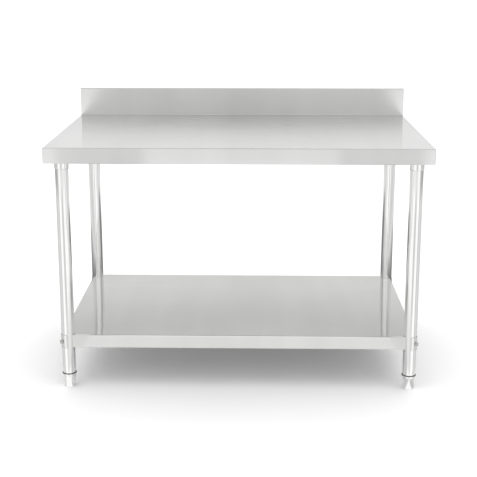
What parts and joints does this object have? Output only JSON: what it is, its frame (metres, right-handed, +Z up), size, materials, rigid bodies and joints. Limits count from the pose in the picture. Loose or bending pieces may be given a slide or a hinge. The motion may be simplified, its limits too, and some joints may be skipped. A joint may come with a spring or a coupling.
{
  "type": "stainless steel work table",
  "caption": "Stainless steel work table with a rear backsplash, a flat undershelf, round tube legs and screw-adjusted bullet feet.",
  "frame": {"origin": "on the floor under the centre of the footprint", "axes": "+X to the right along the table, -Y towards the person working at it (backsplash at +Y), +Z up"},
  "size_m": [1.2, 0.7, 0.9],
  "materials": {
    "brushed_stainless": "fine brushed grain along the table's length, satin sheen",
    "polished_stainless": "polished tube and castings with long narrow reflections",
    "galvanised_steel": "dull galvanised sheet, soft spangle",
    "zinc_plated_steel": "bright zinc-plated fasteners",
    "black_nylon": "matte black moulded nylon"
  },
  "bodies": {
    "table_frame": {"worktop": "brushed_stainless", "rear_rail": "brushed_stainless", "backsplash_cap_left": "brushed_stainless", "backsplash_cap_right": "brushed_stainless", "top_channel_left": "galvanised_steel", "top_channel_mid": "galvanised_steel", "top_channel_right": "galvanised_steel", "undershelf": "brushed_stainless", "shelf_channel": "galvanised_steel", "leg_socket_front_left": "polished_stainless", "leg_socket_front_right": "polished_stainless", "leg_socket_rear_left": "polished_stainless", "leg_socket_rear_right": "polished_stainless", "socket_screw_front_left": "zinc_plated_steel", "socket_screw_front_right": "zinc_plated_steel", "socket_screw_rear_left": "zinc_plated_steel", "socket_screw_rear_right": "zinc_plated_steel", "leg_front_left": "polished_stainless", "leg_front_right": "polished_stainless", "leg_rear_left": "polished_stainless", "leg_rear_right": "polished_stainless", "corner_gusset_front_left": "galvanised_steel", "corner_gusset_front_right": "galvanised_steel", "corner_gusset_rear_left": "galvanised_steel", "corner_gusset_rear_right": "galvanised_steel", "saddle_plate_front_left": "polished_stainless", "saddle_plate_front_right": "polished_stainless", "saddle_plate_rear_left": "polished_stainless", "saddle_plate_rear_right": "polished_stainless", "leg_bolt_front_left": "zinc_plated_steel", "leg_bolt_front_right": "zinc_plated_steel", "leg_bolt_rear_left": "zinc_plated_steel", "leg_bolt_rear_right": "zinc_plated_steel", "nut_washer_front_left": "zinc_plated_steel", "nut_washer_front_right": "zinc_plated_steel", "nut_washer_rear_left": "zinc_plated_steel", "nut_washer_rear_right": "zinc_plated_steel", "bolt_nut_front_left": "zinc_plated_steel", "bolt_nut_front_right": "zinc_plated_steel", "bolt_nut_rear_left": "zinc_plated_steel", "bolt_nut_rear_right": "zinc_plated_steel", "foot_insert_front_left": "galvanised_steel", "foot_insert_front_right": "galvanised_steel", "foot_insert_rear_left": "galvanised_steel", "foot_insert_rear_right": "galvanised_steel"},
    "foot_ring_front_left": {"foot_washer_front_left": "black_nylon"},
    "screw_foot_front_left": {"foot_front_left": "polished_stainless", "foot_stud_front_left": "zinc_plated_steel"},
    "foot_ring_front_right": {"foot_washer_front_right": "black_nylon"},
    "screw_foot_front_right": {"foot_front_right": "polished_stainless", "foot_stud_front_right": "zinc_plated_steel"},
    "foot_ring_rear_left": {"foot_washer_rear_left": "black_nylon"},
    "screw_foot_rear_left": {"foot_rear_left": "polished_stainless", "foot_stud_rear_left": "zinc_plated_steel"},
    "foot_ring_rear_right": {"foot_washer_rear_right": "black_nylon"},
    "screw_foot_rear_right": {"foot_rear_right": "polished_stainless", "foot_stud_rear_right": "zinc_plated_steel"}
  },
  "joints": [
    {"name": "foot_travel_front_left", "type": "slide", "parent": "table_frame", "child": "foot_ring_front_left", "axis": [0, 0, -1], "range_m": [0, 0.0251]},
    {"name": "foot_turn_front_left", "type": "hinge", "parent": "foot_ring_front_left", "child": "screw_foot_front_left", "pos_m": [-0.5525, -0.3, 0.048], "axis": [0, 0, -1], "range_deg": [0, 5142.9]},
    {"name": "foot_travel_front_right", "type": "slide", "parent": "table_frame", "child": "foot_ring_front_right", "axis": [0, 0, -1], "range_m": [0, 0.0251]},
    {"name": "foot_turn_front_right", "type": "hinge", "parent": "foot_ring_front_right", "child": "screw_foot_front_right", "pos_m": [0.5525, -0.3, 0.048], "axis": [0, 0, -1], "range_deg": [0, 5142.9]},
    {"name": "foot_travel_rear_left", "type": "slide", "parent": "table_frame", "child": "foot_ring_rear_left", "axis": [0, 0, -1], "range_m": [0, 0.0251]},
    {"name": "foot_turn_rear_left", "type": "hinge", "parent": "foot_ring_rear_left", "child": "screw_foot_rear_left", "pos_m": [-0.5525, 0.3, 0.048], "axis": [0, 0, -1], "range_deg": [0, 5142.9]},
    {"name": "foot_travel_rear_right", "type": "slide", "parent": "table_frame", "child": "foot_ring_rear_right", "axis": [0, 0, -1], "range_m": [0, 0.0251]},
    {"name": "foot_turn_rear_right", "type": "hinge", "parent": "foot_ring_rear_right", "child": "screw_foot_rear_right", "pos_m": [0.5525, 0.3, 0.048], "axis": [0, 0, -1], "range_deg": [0, 5142.9]}
  ],
  "couplings": [
    {"joint": "foot_travel_front_left", "follows": "foot_turn_front_left", "m_per_rad": 0.00027852},
    {"joint": "foot_travel_front_right", "follows": "foot_turn_front_right", "m_per_rad": 0.00027852},
    {"joint": "foot_travel_rear_left", "follows": "foot_turn_rear_left", "m_per_rad": 0.00027852},
    {"joint": "foot_travel_rear_right", "follows": "foot_turn_rear_right", "m_per_rad": 0.00027852}
  ]
}
